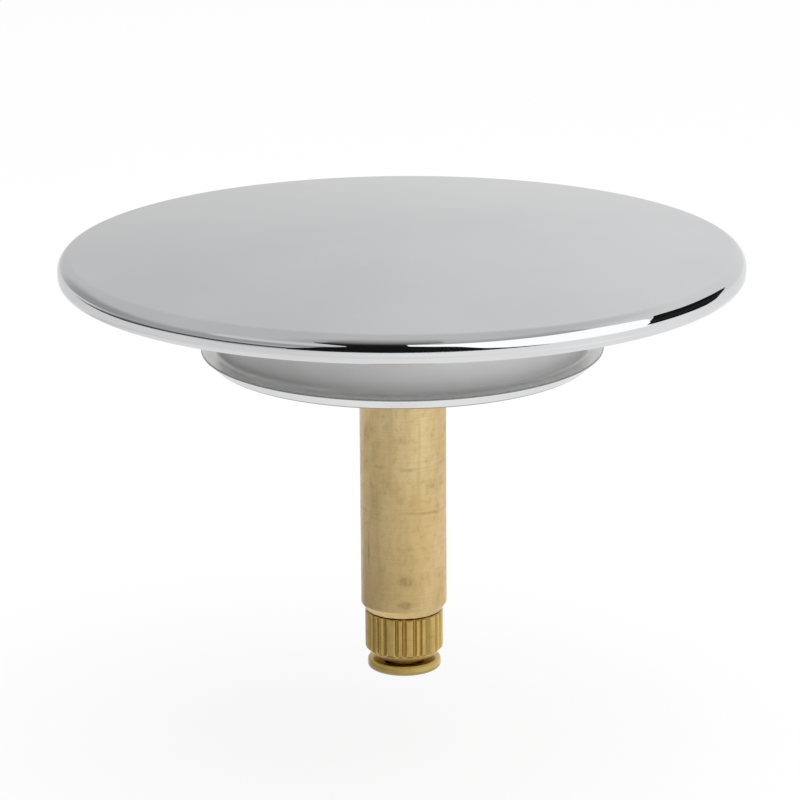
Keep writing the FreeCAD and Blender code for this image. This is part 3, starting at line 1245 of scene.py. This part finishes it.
@dataclass
class Stem:
    """Brass tube with the split washer on top of it.

    Attributes:
        radius: Outer radius of the tube.
        top: Height of its upper end.
        bottom: Height of its lower end.
        top_chamfer: Chamfer of the upper end.
        end_chamfer: Width and height of the lower end's chamfer.
        stud_bore: Radius of the upper thread.
        chamber: Radius of the hollow between the threads.
        chamber_top: Height of the hollow's upper end.
        chamber_floor: Height of the hollow's lower end.
        screw_bore: Radius of the lower thread.
        washer: Inner and outer radius of the washer.
        washer_top: Height of the washer's upper face.
        washer_gap: Angle of the washer's split, in degrees.
        brass: Finish of the tube, with painted shadow specks under the washer.
        steel: Finish of the washer.
    """

    radius: float = 4.6
    top: float = -9.5
    bottom: float = -36.9
    top_chamfer: float = 0.3
    end_chamfer: Point = (0.5, 0.8)
    stud_bore: float = 3.05
    chamber: float = 2.5
    chamber_top: float = -17.5
    chamber_floor: float = -28.9
    screw_bore: float = 2.05
    washer: Point = (3.2, 4.4)
    washer_top: float = -8.9
    washer_gap: float = 10.5
    # The specks paint the contact shadow under the washer; the rings and spots are stains.
    brass: Finish = TurnedBrass("stained_brass", Slot.BRASS, rings=(-20.0, -25.1), shadow_specks=(-10.6, -9.55),
                                spots=((1.0, -32.6, 1.1, 0.75), (2.0, -35.2, 1.0, 0.55),
                                       (-54.0, -29.4, 0.2, 2.1)))
    steel: Finish = OILED_STEEL

    def build(self) -> None:
        """Build the tube and its washer."""
        set_in(self.tube(), "stem_sleeve", Body.STOPPER, self.brass)
        set_in(self.split_washer(), "lock_washer", Body.STOPPER, self.steel)

    def tube(self) -> bpy.types.Mesh:
        """Turn the tube with its bores.

        Returns:
            Mesh of the tube.
        """
        section = HalfSection(closed=True, ease_steps=4)
        section.corner(self.stud_bore, self.top, 0.1).corner(self.radius - self.top_chamfer, self.top, 0.06)
        section.corner(self.radius, self.top - self.top_chamfer, 0.08)
        section.corner(self.radius, self.bottom + self.end_chamfer[1], 0.1)
        section.corner(self.radius - self.end_chamfer[0], self.bottom, 0.08)
        section.corner(self.screw_bore, self.bottom, 0.1).corner(self.screw_bore, self.chamber_floor)
        section.corner(self.chamber, self.chamber_floor).corner(self.chamber, self.chamber_top)
        section.corner(self.stud_bore, self.chamber_top)
        return Lathe(192).mesh("brass_stem", section)

    def split_washer(self) -> bpy.types.Mesh:
        """Sweep the washer from one side of its split to the other.

        Returns:
            Mesh of the washer.
        """
        section = HalfSection(closed=True, ease_steps=3)
        inner, outer = self.washer
        section.corner(inner, self.top, 0.08).corner(outer, self.top, 0.1)
        section.corner(outer, self.washer_top, 0.1).corner(inner, self.washer_top, 0.08)
        gap = math.radians(self.washer_gap)
        return Lathe(120, start=gap / 2, sweep=TURN - gap).mesh("split_washer", section)


@dataclass
class LockNut:
    """Knurled nut with a bevelled lower end.

    Attributes:
        radius: Radius over the ridges.
        top: Height of its upper face.
        bottom: Height of its lower face.
        bore: Radius of its thread.
        mouth: Chamfer of the thread's mouths.
        top_chamfer: Chamfer of its upper edge.
        bevel: Width and height of the bevel at its lower end.
        bevel_start: Share of the bevel that is a single row.
        ridges: Number of ridges.
        ridge_facets: Facets round each ridge.
        depth: Depth of the valleys between them.
        crest_share: Share of a ridge that is crest.
        valley_share: Share of a ridge that is valley.
        wander: Shift of the ridges from even spacing, as a share of a ridge.
        brass: Finish of the nut, darker in its grooves, with a brighter tone on its bevel that is partly
            clean-cut brass and partly painted light.
    """

    radius: float = 4.18
    top: float = -37.05
    bottom: float = -42.05
    bore: float = 2.05
    mouth: float = 0.3
    top_chamfer: float = 0.15
    bevel: Point = (0.8, 0.9)
    bevel_start: float = 0.15
    ridges: int = 26
    ridge_facets: int = 24
    depth: float = 0.2
    crest_share: float = 0.42
    valley_share: float = 0.18
    wander: float = 0.16
    # The bevel's bright tone is partly clean-cut brass and partly painted light.
    brass: Finish = TurnedBrass("knurl_brass", Slot.POLISHED_BRASS,
                                fresh=(0.70, 0.50, 0.18), aged=(0.58, 0.40, 0.12),
                                stain_and_shade=(0.24, 0.15, 0.03), roughness=(0.2, 0.36), groove_dark_radii=(3.98, 4.14),
                                groove_dark_above=-41.4, end_light_and_shade_below=-41.32, end=(0.93, 0.80, 0.50))

    def build(self) -> None:
        """Build the nut."""
        set_in(self.nut(), "lock_nut", Body.LOCK_NUT, self.brass)

    def nut(self) -> bpy.types.Mesh:
        """Turn the nut's blank and cut its ridges.

        Returns:
            Mesh of the nut.
        """
        mouth = self.bore + self.mouth
        width, height = self.bevel
        section = HalfSection(closed=True, ease_steps=4)
        section.corner(self.bore, self.bottom + self.mouth).corner(mouth, self.bottom)
        section.corner(self.radius - width, self.bottom, 0.06)
        section.corner(self.radius - width * (1 - self.bevel_start), self.bottom + height * self.bevel_start)
        section.run(self.radius, self.bottom + height, 22)
        section.run(self.radius, self.top - self.top_chamfer, 6)
        section.run(self.radius - self.top_chamfer, self.top, 6)
        section.corner(mouth, self.top).corner(self.bore, self.top - self.mouth)
        blank = Lathe(self.ridges * self.ridge_facets).mesh("knurled_nut", section)
        sizes = {"Count": self.ridges, "Radius": self.radius * MM, "Depth": self.depth * MM,
                 "Crest share": self.crest_share, "Valley share": self.valley_share, "Wander": self.wander}
        return KnurlTree().cut(blank, self.brass, sizes)


@dataclass
class AdjustingScrew:
    """Screw with a rounded foot, and the snap ring in its groove.

    Attributes:
        radius: Radius of the thread.
        pitch: Pitch of the thread.
        depth: Depth of the thread.
        plain: Plain length between the foot and the thread.
        overrun: Height by which the thread runs into the groove.
        run_out: Height over which the thread runs out.
        top: Height of the screw's inner end.
        tip_chamfer: Chamfer of that end.
        groove: Upper and lower height of the groove.
        groove_radius: Radius of the groove's floor.
        foot: Radius of the foot.
        foot_top: Height of the foot's upper face.
        foot_bottom: Height of the foot's lower face.
        foot_edge: Radius of the foot's edges.
        slot: Length, width and depth of the driver slot.
        slot_round: Rounding of the slot's ends, as a share of its width.
        ring: Inner and outer radius of the snap ring.
        ring_top: Height of the ring's upper face.
        ring_bottom: Height of the ring's lower face.
        ring_mouth: Angle of the ring's mouth, in degrees.
        brass: Finish of the screw, with painted shade on the foot's lower edge.
        steel: Finish of the ring.
    """

    radius: float = 2.0
    pitch: float = 0.7
    depth: float = 0.36
    plain: float = 0.5
    overrun: float = 0.4
    run_out: float = 0.5
    top: float = -18.15
    tip_chamfer: float = 0.4
    groove: Point = (-19.05, -19.75)
    groove_radius: float = 1.45
    foot: float = 3.95
    foot_top: float = -42.45
    foot_bottom: float = -43.5
    foot_edge: float = 0.35
    slot: Triple = (5.6, 1.0, 0.6)
    slot_round: float = 0.3
    ring: Point = (1.5, 2.4)
    ring_top: float = -19.1
    ring_bottom: float = -19.7
    ring_mouth: float = 60.0
    # The foot's dark lower edge is painted shade.
    brass: Finish = TurnedBrass("foot_brass", Slot.POLISHED_BRASS,
                                fresh=(0.66, 0.49, 0.19), aged=(0.56, 0.40, 0.13),
                                stain_and_shade=(0.24, 0.15, 0.04), roughness=(0.14, 0.26), tarnish=0.4, marks=1.5e-6,
                                end_light_and_shade_below=-43.02, end=(0.40, 0.30, 0.12))
    steel: Finish = OILED_STEEL

    def build(self) -> None:
        """Build the screw and its snap ring."""
        set_in(self.screw(), "adjusting_screw", Body.ADJUSTING_SCREW, self.brass)
        set_in(self.snap_ring(), "stop_ring", Body.STOP_RING, self.steel)

    def screw(self) -> bpy.types.Mesh:
        """Turn the screw, cut its thread and then the slot in its foot.

        Returns:
            Mesh of the screw.
        """
        edge = self.foot - self.foot_edge
        section = HalfSection(closed=False)
        section.corner(0.0, self.top).corner(self.radius - self.tip_chamfer, self.top)
        section.corner(self.radius, self.top - self.tip_chamfer).corner(self.radius, self.groove[0])
        section.corner(self.groove_radius, self.groove[0]).corner(self.groove_radius, self.groove[1])
        section.corner(self.radius, self.groove[1]).run(self.radius, self.foot_top, 300)
        section.corner(edge - 0.02, self.foot_top)
        section.arc((edge, self.foot_top - self.foot_edge), self.foot_edge, math.pi / 2, 0.0, 14)
        section.arc((edge, self.foot_bottom + self.foot_edge), self.foot_edge, 0.0, -math.pi / 2, 14)
        section.corner(edge - 0.02, self.foot_bottom).corner(0.0, self.foot_bottom)
        blank = Lathe(96).mesh("foot_screw", section)
        thread = ThreadTree()
        ends = (self.foot_top + self.plain, self.groove[1] + self.overrun)
        sizes = thread.sizes(self.radius, self.pitch, self.depth, ends, self.run_out)
        return self._slotted(thread.cut(blank, self.brass, sizes))

    def _slotted(self, mesh: bpy.types.Mesh) -> bpy.types.Mesh:
        """Cut the driver slot into the foot.

        Args:
            mesh: Mesh of the screw, which is used up.

        Returns:
            Mesh of the screw with its slot.
        """
        length, width, depth = metres(*self.slot)
        cutter = bmesh.new()
        bmesh.ops.create_cube(cutter, size=1.0)
        bmesh.ops.scale(cutter, vec=(length, width, depth * 2), verts=cutter.verts)
        bmesh.ops.translate(cutter, vec=(0.0, 0.0, self.foot_bottom * MM), verts=cutter.verts)
        upright = [edge for edge in cutter.edges if abs(edge.verts[0].co.z - edge.verts[1].co.z) > depth]
        rounding = width * self.slot_round
        bmesh.ops.bevel(cutter, geom=upright, offset=rounding, segments=4, affect="EDGES", profile=0.5)
        tool_mesh = bpy.data.meshes.new("slot_cutter")
        cutter.to_mesh(tool_mesh)
        cutter.free()
        tool = placed("slot_cutter", tool_mesh)
        work = placed("slotted", mesh)
        modifier = work.modifiers.new("slot", "BOOLEAN")
        modifier.operation = "DIFFERENCE"
        modifier.solver = "EXACT"
        modifier.object = tool
        graph = bpy.context.evaluated_depsgraph_get()
        result = bpy.data.meshes.new_from_object(work.evaluated_get(graph))
        name = mesh.name
        for done in (tool, work):
            bpy.data.objects.remove(done)
        bpy.data.meshes.remove(tool_mesh)
        bpy.data.meshes.remove(mesh)
        result.name = name
        return tidied(result, CUT_SMOOTH_ANGLE)

    def snap_ring(self) -> bpy.types.Mesh:
        """Sweep the snap ring from one side of its mouth to the other.

        Returns:
            Mesh of the ring.
        """
        section = HalfSection(closed=True, ease_steps=3)
        inner, outer = self.ring
        section.corner(inner, self.ring_bottom, 0.06).corner(outer, self.ring_bottom, 0.1)
        section.corner(outer, self.ring_top, 0.1).corner(inner, self.ring_top, 0.06)
        mouth = math.radians(self.ring_mouth)
        return Lathe(90, start=mouth, sweep=TURN - mouth).mesh("snap_ring", section)


def towards(azimuth: float, elevation: float) -> Vector:
    """Unit vector towards an azimuth from the reference view's side and an elevation, in degrees."""
    a, e = math.radians(azimuth), math.radians(elevation)
    return Vector((math.sin(a) * math.cos(e), -math.cos(a) * math.cos(e), math.sin(e)))


@dataclass(frozen=True)
class Card:
    """Card close to the rim, which its polished shoulder mirrors in the reference view.

    Attributes:
        name: Name of the card.
        away: Distance from the shoulder.
        rows: Elevation, left azimuth and right azimuth of each row as the shoulder mirrors it, in degrees,
            and its brightness.
        steps: Facets between two rows.
        columns: Facets along a row.
    """

    name: str
    away: float
    rows: tuple[tuple[float, float, float, float], ...]
    steps: int = 6
    columns: int = 30

    def grid(self) -> list[tuple[float, list[float], float]]:
        """Divide the card into facets.

        Returns:
            Elevation, azimuths and brightness of each row of points.
        """
        made: list[tuple[float, list[float], float]] = []
        for lower, upper in zip(self.rows, self.rows[1:]):
            for step in range(self.steps + 1):
                height, left, right, level = (a + (b - a) * step / self.steps for a, b in zip(lower, upper))
                turns = [left + (right - left) * column / self.columns for column in range(self.columns + 1)]
                made.append((height, turns, level))
        return made


@dataclass(frozen=True)
class Panel:
    """Soft-edged area of the far surroundings, in degrees.

    Attributes:
        azimuths: Left and right edge, from the reference view's side, positive to the right.
        elevations: Lower and upper edge.
        soft: Width of the edges.
        level: Brightness.
    """

    azimuths: Point
    elevations: Point
    soft: float
    level: float


@dataclass(frozen=True)
class TableTop:
    """White table as polished metal mirrors it, with a darker room past its edge.

    Lengths are millimetres from the axis. Angles are degrees from the reference view's side, positive
    to the right, and two values that go with two angles or lengths are in the same order.

    Attributes:
        width: Places to the left and to the right between which the table grows whiter.
        white: Brightness at these places.
        back: Angles to either side between which the table grows greyer towards the back.
        back_share: Share of the brightness that is left there.
        low: Shares of Layer Weight's Facing between which the sheen of a low view sets in.
        low_left: Angles over which the sheen sets in on the left.
        low_right: Angles over which it ends on the right.
        middle: Lengths between which the sheen's streak fades out.
        streak: Angles between which the streak grows brighter.
        streak_levels: Its brightness at these angles.
        streak_end: Angles between which it grows darker again.
        streak_share: Share of the brightness that is left there.
        near: Lengths between which the shade close to the object sets in.
        near_fade: Length from which that shade fades out.
        near_turns: Angles on the left and in front.
        near_reach: Lengths that the shade reaches at these angles.
        shade_turns: Angles between which the shade changes.
        shade: Its brightness at these angles.
        edge_turns: Angles on the left and in front.
        edges: Lengths at which the table ends at these angles.
        edge_soft: Shares of the table's length between which it gives way to the room.
        edge_left: Angles over which the edge sets in on the left.
        edge_right: Angles over which it ends on the right.
        room: Lengths between which the room grows brighter.
        room_levels: Its brightness at these lengths.
    """

    width: Point = (-160.0, 30.0)
    white: Point = (0.82, 0.97)
    back: Point = (95.0, 135.0)
    back_share: float = 0.9
    low: Point = (0.38, 0.55)
    low_left: Point = (-150.0, -128.0)
    low_right: Point = (140.0, 165.0)
    middle: Point = (150.0, 200.0)
    streak: Point = (0.0, 58.0)
    streak_levels: Point = (0.83, 1.07)
    streak_end: Point = (64.0, 100.0)
    streak_share: float = 0.88
    near: Point = (20.0, 34.0)
    near_fade: float = 55.0
    near_turns: Point = (-80.0, -20.0)
    near_reach: Point = (150.0, 100.0)
    shade_turns: Point = (-70.0, 70.0)
    shade: Point = (0.40, 0.92)
    edge_turns: Point = (-110.0, -55.0)
    edges: Point = (280.0, 238.0)
    edge_soft: Point = (0.97, 1.06)
    edge_left: Point = (-122.0, -98.0)
    edge_right: Point = (-70.0, 0.0)
    room: Point = (450.0, 620.0)
    room_levels: Point = (0.14, 0.47)

    def level(self, bench: NodeBench, coords: Socket) -> Socket:
        """Work out the brightness that metal mirrors.

        Args:
            bench: Bench of the floor's tree.
            coords: Object coordinates, in metres.

        Returns:
            The brightness.
        """
        x, y, _ = bench.split(coords)
        radius = bench.length(x, y)
        turn = bench.math("DEGREES", bench.azimuth(x, y))
        behind = bench.remap(bench.math("ABSOLUTE", turn), self.back, (1.0, self.back_share))
        level = bench.product(bench.remap(x, metres(*self.width), self.white, Curve.SMOOTH), behind)
        facing = bench.node("ShaderNodeLayerWeight").outputs["Facing"]
        sheen = bench.product(bench.remap(facing, self.low), bench.band(turn, self.low_left, self.low_right))
        middle = bench.remap(radius, metres(*self.middle), (1.0, 0.0), Curve.SMOOTH)
        streak = bench.product(bench.remap(turn, self.streak, self.streak_levels, Curve.SMOOTH),
                               bench.remap(turn, self.streak_end, (1.0, self.streak_share)))
        level = bench.fade(bench.product(middle, sheen), level, streak)
        reach = bench.remap(turn, self.near_turns, metres(*self.near_reach))
        fading = bench.remap(radius, (self.near_fade * MM, reach), (1.0, 0.0), Curve.SMOOTH)
        near = bench.product(bench.remap(radius, metres(*self.near)), fading, sheen)
        level = bench.fade(near, level, bench.remap(turn, self.shade_turns, self.shade))
        edge = bench.remap(turn, self.edge_turns, metres(*self.edges))
        past = bench.product(bench.remap(bench.math("DIVIDE", radius, edge), self.edge_soft),
                             bench.band(turn, self.edge_left, self.edge_right))
        return bench.fade(past, level, bench.remap(radius, metres(*self.room), self.room_levels))


@dataclass
class Studio:
    """White studio round the stopper: floor, surroundings, cards, lamp and camera.

    Attributes:
        cover: The cover, whose rim the cards are set out from.
        floor_height: Height of the floor, below the foot when the screw is wound out.
        floor_reach: Half the floor's width.
        floor_colour: Colour of the floor.
        floor_glow: Share of the floor that shows as plain white in the picture.
        table: Look of the floor in reflections.
        walls: Brightness of the surroundings where no panel covers them.
        target: Point that the camera looks at.
        distance: Distance of the camera from it.
        elevation: Height of the camera above the horizon, in degrees.
        roll: Turn of the picture, in degrees.
        lens: Focal length.
        sensor: Width of the sensor.
        near_clip: Distance from which the camera sees.
        lamp_place: Place of the lamp.
        lamp_aim: Point that the lamp is turned to.
        lamp_size: Diameter of the lamp.
        lamp_power: Power of the lamp, in watts.
        panels: Areas of the surroundings, each over the ones before it.
        cards: Cards close to the rim.
        card_range: Distance within which metal mirrors a card.
    """

    cover: Cover
    floor_height: float = -53.0
    floor_reach: float = 1500.0
    floor_colour: Colour = (0.92, 0.92, 0.92)
    floor_glow: float = 0.86
    table: TableTop = TableTop()
    walls: float = 0.62
    target: Triple = (-0.283, 0.0, -13.707)
    distance: float = 378.22
    elevation: float = 16.10
    roll: float = -0.38
    lens: float = 160.455
    sensor: float = 36.0
    near_clip: float = 10.0
    lamp_place: Triple = (150.0, -100.0, 800.0)
    lamp_aim: Triple = (0.0, 0.0, -50.0)
    lamp_size: float = 900.0
    lamp_power: float = 5.2
    panels: tuple[Panel, ...] = (
        Panel((-180.0, 180.0), (74.0, 106.0), 24.0, 0.62),
        Panel((82.0, 180.0), (-90.0, 48.0), 30.0, 0.80),
        Panel((-42.0, 26.0), (38.0, 76.0), 24.0, 0.46),
        Panel((-146.0, -22.0), (-90.0, 20.0), 20.0, 0.42),
        Panel((-134.0, -103.0), (-90.0, 18.0), 16.0, 0.37),
        Panel((-66.0, -10.0), (16.0, 31.0), 6.0, 0.75),
        Panel((20.0, 88.0), (-90.0, 35.0), 20.0, 0.85),
    )
    cards: tuple[Card, ...] = (
        Card("white_card", 4.0, (
            (-14.0, 35.0, 88.0, 1.36), (-7.0, 30.0, 88.0, 1.36), (-5.5, 15.0, 88.0, 1.36),
            (24.0, 2.0, 90.0, 1.36), (30.0, 2.0, 86.0, 1.36), (36.0, 2.0, 76.0, 1.36),
            (38.0, 2.0, 74.0, 0.50), (42.0, 3.0, 74.0, 0.44), (50.0, 4.0, 76.0, 0.50),
            (58.0, 6.0, 78.0, 0.57),
        )),
        Card("front_flag", 3.5, (
            (-15.5, -38.0, 50.0, 0.01), (-14.0, -37.5, 41.0, 0.01), (-12.0, -37.0, 34.0, 0.01),
            (-9.6, -36.0, 30.0, 0.01), (-6.0, -34.0, 27.0, 0.01), (0.0, -30.0, 24.0, 0.01),
            (8.0, -27.0, 21.0, 0.01), (12.0, -25.0, 19.5, 0.01), (16.0, -21.0, 17.5, 0.01),
            (20.0, -18.0, 14.0, 0.01), (24.0, -19.0, 8.0, 0.01), (28.0, -23.0, 2.0, 0.01),
            (36.0, -31.0, 1.5, 0.02), (40.0, -33.0, 1.5, 0.06), (44.0, -30.0, 10.0, 0.13),
            (48.0, -30.0, 16.0, 0.20), (54.0, -30.0, 18.0, 0.30), (60.0, -30.0, 18.0, 0.36),
            (66.0, -30.0, 18.0, 0.42),
        )),
        Card("right_flag", 3.5, (
            (-9.5, 86.0, 118.0, 0.01), (-5.0, 86.0, 124.0, 0.01), (2.0, 87.0, 127.0, 0.02),
            (7.0, 87.0, 132.0, 0.02), (10.0, 88.0, 134.0, 0.01), (14.0, 89.5, 130.0, 0.01),
            (19.0, 92.0, 121.0, 0.01), (23.0, 94.0, 109.0, 0.01), (27.0, 96.5, 101.0, 0.01),
        )),
        Card("left_strip", 3.9, (
            (-14.8, -104.0, -36.0, 0.20), (-13.8, -116.0, -36.0, 0.07),
            (-10.0, -130.0, -36.0, 0.08), (-7.5, -136.0, -36.0, 0.35),
        )),
    )
    card_range: float = 4.6

    def build(self) -> None:
        """Set up floor, surroundings, cards, lamp and camera."""
        self.floor()
        self.surroundings()
        self.hang_cards()
        self.lamp()
        self.camera()
        LOG.info("studio ready")

    def _sheet(self, name: str, rows: list[list[Vector]], material: bpy.types.Material) -> bpy.types.Object:
        """Make a sheet of the stage from rows of points.

        Args:
            name: Name of the sheet.
            rows: Points of each row, as many in each, in millimetres.
            material: Its material.

        Returns:
            The sheet.
        """
        width = len(rows[0])
        verts = [point * MM for row in rows for point in row]
        faces = [(r * width + c, r * width + c + 1, (r + 1) * width + c + 1, (r + 1) * width + c)
                 for r in range(len(rows) - 1) for c in range(width - 1)]
        mesh = bpy.data.meshes.new(name)
        mesh.from_pydata(verts, [], faces)
        mesh.materials.append(material)
        mesh.shade_smooth()
        sheet = placed(name, mesh)
        return sheet

    def floor(self) -> None:
        """Lay a pale floor that keeps the shadow and can be looked through from below."""
        made, bench = new_material("pale_floor")
        path = bench.node("ShaderNodeLightPath").outputs
        mirrored = bench.math("MAXIMUM", path["Is Glossy Ray"], path["Is Transmission Ray"])
        matt = bench.node("ShaderNodeBsdfDiffuse")
        matt.inputs["Color"].default_value = (*self.floor_colour, 1.0)
        white = bench.node("ShaderNodeEmission")
        glow = self.table.level(bench, bench.node("ShaderNodeTexCoord").outputs["Object"])
        bench.feed(white.inputs["Strength"], bench.fade(mirrored, 1.0, glow))
        share = bench.fade(mirrored, bench.product(path["Is Camera Ray"], self.floor_glow), 1.0)
        top = bench.cross(share, matt, white)
        under = bench.node("ShaderNodeNewGeometry").outputs["Backfacing"]
        bench.surface(bench.cross(under, top, bench.node("ShaderNodeBsdfTransparent")))
        reach, height = self.floor_reach, self.floor_height
        rows = [[Vector((-reach, y, height)), Vector((reach, y, height))] for y in (-reach, reach)]
        self._sheet("floor", rows, made)

    def surroundings(self) -> None:
        """Paint the studio round the object: grey walls, brighter panels, white for the camera."""
        world = bpy.data.worlds.new("studio")
        bpy.context.scene.world = world
        world.use_nodes = True
        bench = NodeBench(world.node_tree)
        x, y, z = bench.split(bench.node("ShaderNodeTexCoord").outputs["Generated"])
        azimuth = bench.math("DEGREES", bench.azimuth(x, y))
        elevation = bench.math("DEGREES", bench.math("ARCSINE", z))
        level: Value = self.walls
        for panel in self.panels:
            across = bench.math("SUBTRACT", azimuth, sum(panel.azimuths) / 2)
            across = bench.math("ABSOLUTE", bench.wrap(across, -180.0, 180.0))
            above = bench.math("ABSOLUTE", bench.math("SUBTRACT", elevation, sum(panel.elevations) / 2))
            masks: list[Socket] = []
            for away, ends in ((across, panel.azimuths), (above, panel.elevations)):
                half = (ends[1] - ends[0]) / 2
                edges = (half + panel.soft / 2, half - panel.soft / 2)
                masks.append(bench.remap(away, edges, (0.0, 1.0), Curve.SMOOTH))
            level = bench.fade(bench.product(*masks), level, panel.level)
        seen = bench.node("ShaderNodeLightPath").outputs["Is Camera Ray"]
        glow = bench.node("ShaderNodeBackground")
        glow.inputs["Color"].default_value = (1.0, 1.0, 1.0, 1.0)
        bench.feed(glow.inputs["Strength"], bench.fade(seen, level, 1.0))
        bench.surface(glow, "ShaderNodeOutputWorld")

    def _mirrored(self, azimuth: float, elevation: float, away: float) -> Vector:
        """Find where a card has to hang for the shoulder of the rim to mirror it in a direction.

        Args:
            azimuth: Direction that the mirrored ray leaves in, in degrees.
            elevation: Its height above the horizon, in degrees.
            away: Distance from the shoulder.

        Returns:
            The point.
        """
        ray = towards(azimuth, elevation)
        eye = Vector(self.target) + towards(0.0, self.elevation) * self.distance
        point = Vector((0.0, 0.0, 0.0))
        for _ in range(4):
            facing = ((eye - point).normalized() + ray).normalized()
            outward = Vector((facing.x, facing.y, 0.0)).normalized()
            point = outward * (self.cover.radius - self.cover.shoulder) + facing * self.cover.shoulder
            point.z += self.cover.shoulder_height
        return point + ray * away

    def hang_cards(self) -> None:
        """Hang the cards close to the rim, seen by nothing but the metal beside them."""
        for card in self.cards:
            made, bench = new_material(card.name)
            glow = bench.node("ShaderNodeEmission")
            shade = bench.node("ShaderNodeAttribute", attribute_name="level").outputs["Fac"]
            bench.feed(glow.inputs["Strength"], shade)
            length = bench.node("ShaderNodeLightPath").outputs["Ray Length"]
            close = bench.math("LESS_THAN", length, self.card_range * MM)
            bench.surface(bench.cross(close, bench.node("ShaderNodeBsdfTransparent"), glow))
            grid = card.grid()
            rows = [[self._mirrored(turn, height, card.away) for turn in turns] for height, turns, _ in grid]
            levels = [level for _, turns, level in grid for _ in turns]
            sheet = self._sheet(card.name, rows, made)
            sheet.data.attributes.new("level", "FLOAT", "POINT").data.foreach_set("value", levels)
            for rays in ("camera", "diffuse", "shadow", "transmission"):
                setattr(sheet, "visible_" + rays, False)

    def lamp(self) -> None:
        """Hang a wide soft lamp above, which lights the floor and casts the soft shadow."""
        data = bpy.data.lights.new("soft_lamp", "AREA")
        data.shape = "DISK"
        data.size = self.lamp_size * MM
        data.energy = self.lamp_power
        lamp = placed("soft_lamp", data)
        lamp.location = metres(*self.lamp_place)
        aim = Vector(metres(*self.lamp_aim)) - lamp.location
        lamp.rotation_euler = aim.to_track_quat("-Z", "Y").to_euler()
        lamp.visible_glossy = False

    def camera(self) -> None:
        """Set the camera at the reference view."""
        e, roll = math.radians(self.elevation), math.radians(self.roll)
        back = towards(0.0, self.elevation)
        right, up = Vector((1.0, 0.0, 0.0)), Vector((0.0, math.sin(e), math.cos(e)))
        across = right * math.cos(roll) + up * math.sin(roll)
        above = up * math.cos(roll) - right * math.sin(roll)
        data = bpy.data.cameras.new("camera")
        data.lens = self.lens
        data.sensor_width = self.sensor
        data.clip_start = self.near_clip * MM
        camera = placed("camera", data)
        place = (Vector(self.target) + back * self.distance) * MM
        camera.matrix_world = Matrix.Translation(place) @ Matrix((across, above, back)).transposed().to_4x4()
        bpy.context.scene.camera = camera


def main() -> None:
    """Build every sub-assembly and the studio."""
    logging.basicConfig(level=logging.INFO, format="%(name)s: %(message)s")
    bpy.context.scene.view_settings.view_transform = "Standard"
    cover = Cover()
    for assembly in (cover, ValveBody(), Stem(), LockNut(), AdjustingScrew(), Studio(cover)):
        assembly.build()


if __name__ == "__main__":
    main()
